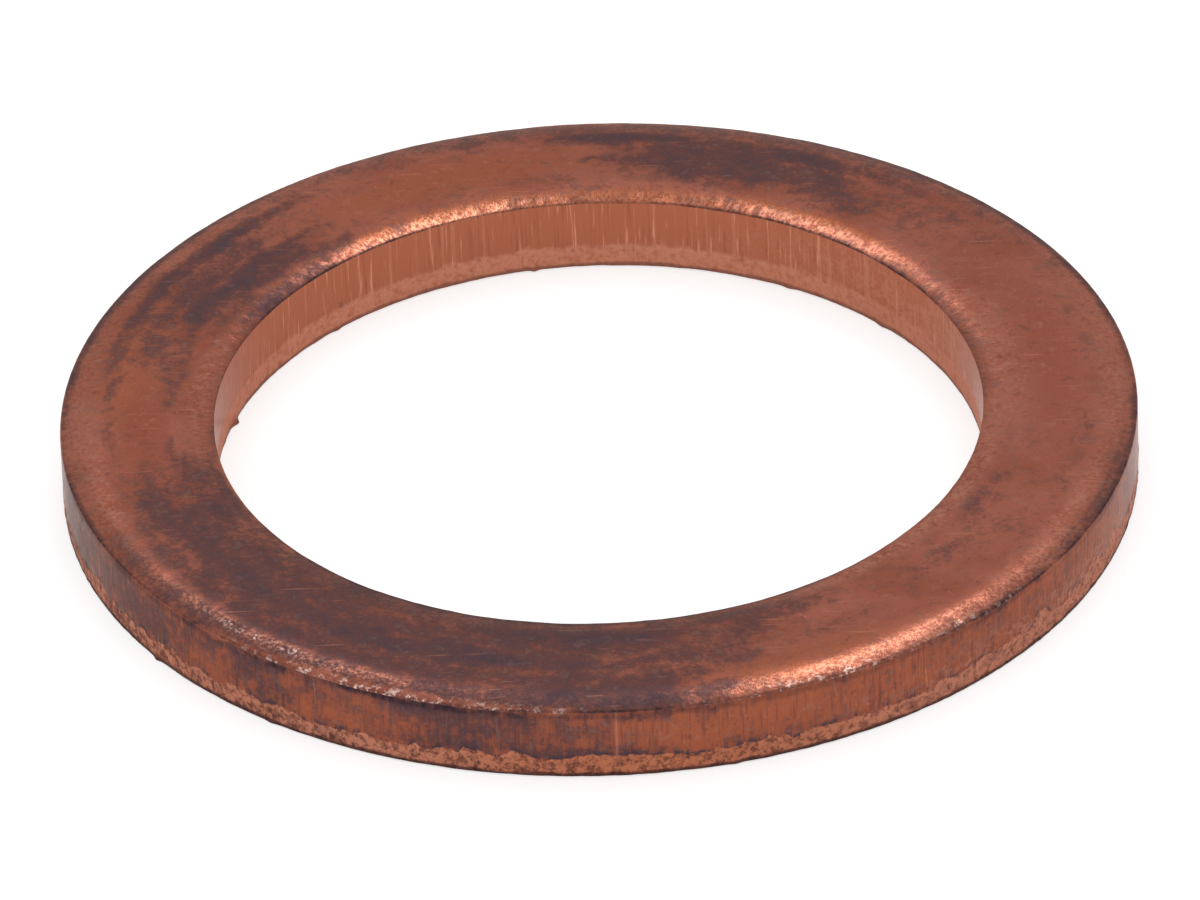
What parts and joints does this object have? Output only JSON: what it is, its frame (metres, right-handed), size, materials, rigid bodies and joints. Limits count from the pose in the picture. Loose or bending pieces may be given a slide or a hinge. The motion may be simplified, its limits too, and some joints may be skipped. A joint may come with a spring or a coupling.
{
  "type": "crush washer",
  "caption": "Flat round copper sealing ring with a plain bore, rolled upper edges and torn lower edges; it is crushed between a plug and its seat to seal a fluid port.",
  "frame": {"origin": "on the axis of the bore, at the lower face, which the ring lies on", "axes": "+Z along the axis of the bore, towards the face with the rolled edges"},
  "size_m": [0.0198, 0.0198, 0.0015],
  "materials": {
    "copper": "bare copper, satin, brown with oxide in patches"
  },
  "bodies": {
    "root": {"washer": "copper"}
  },
  "joints": []
}
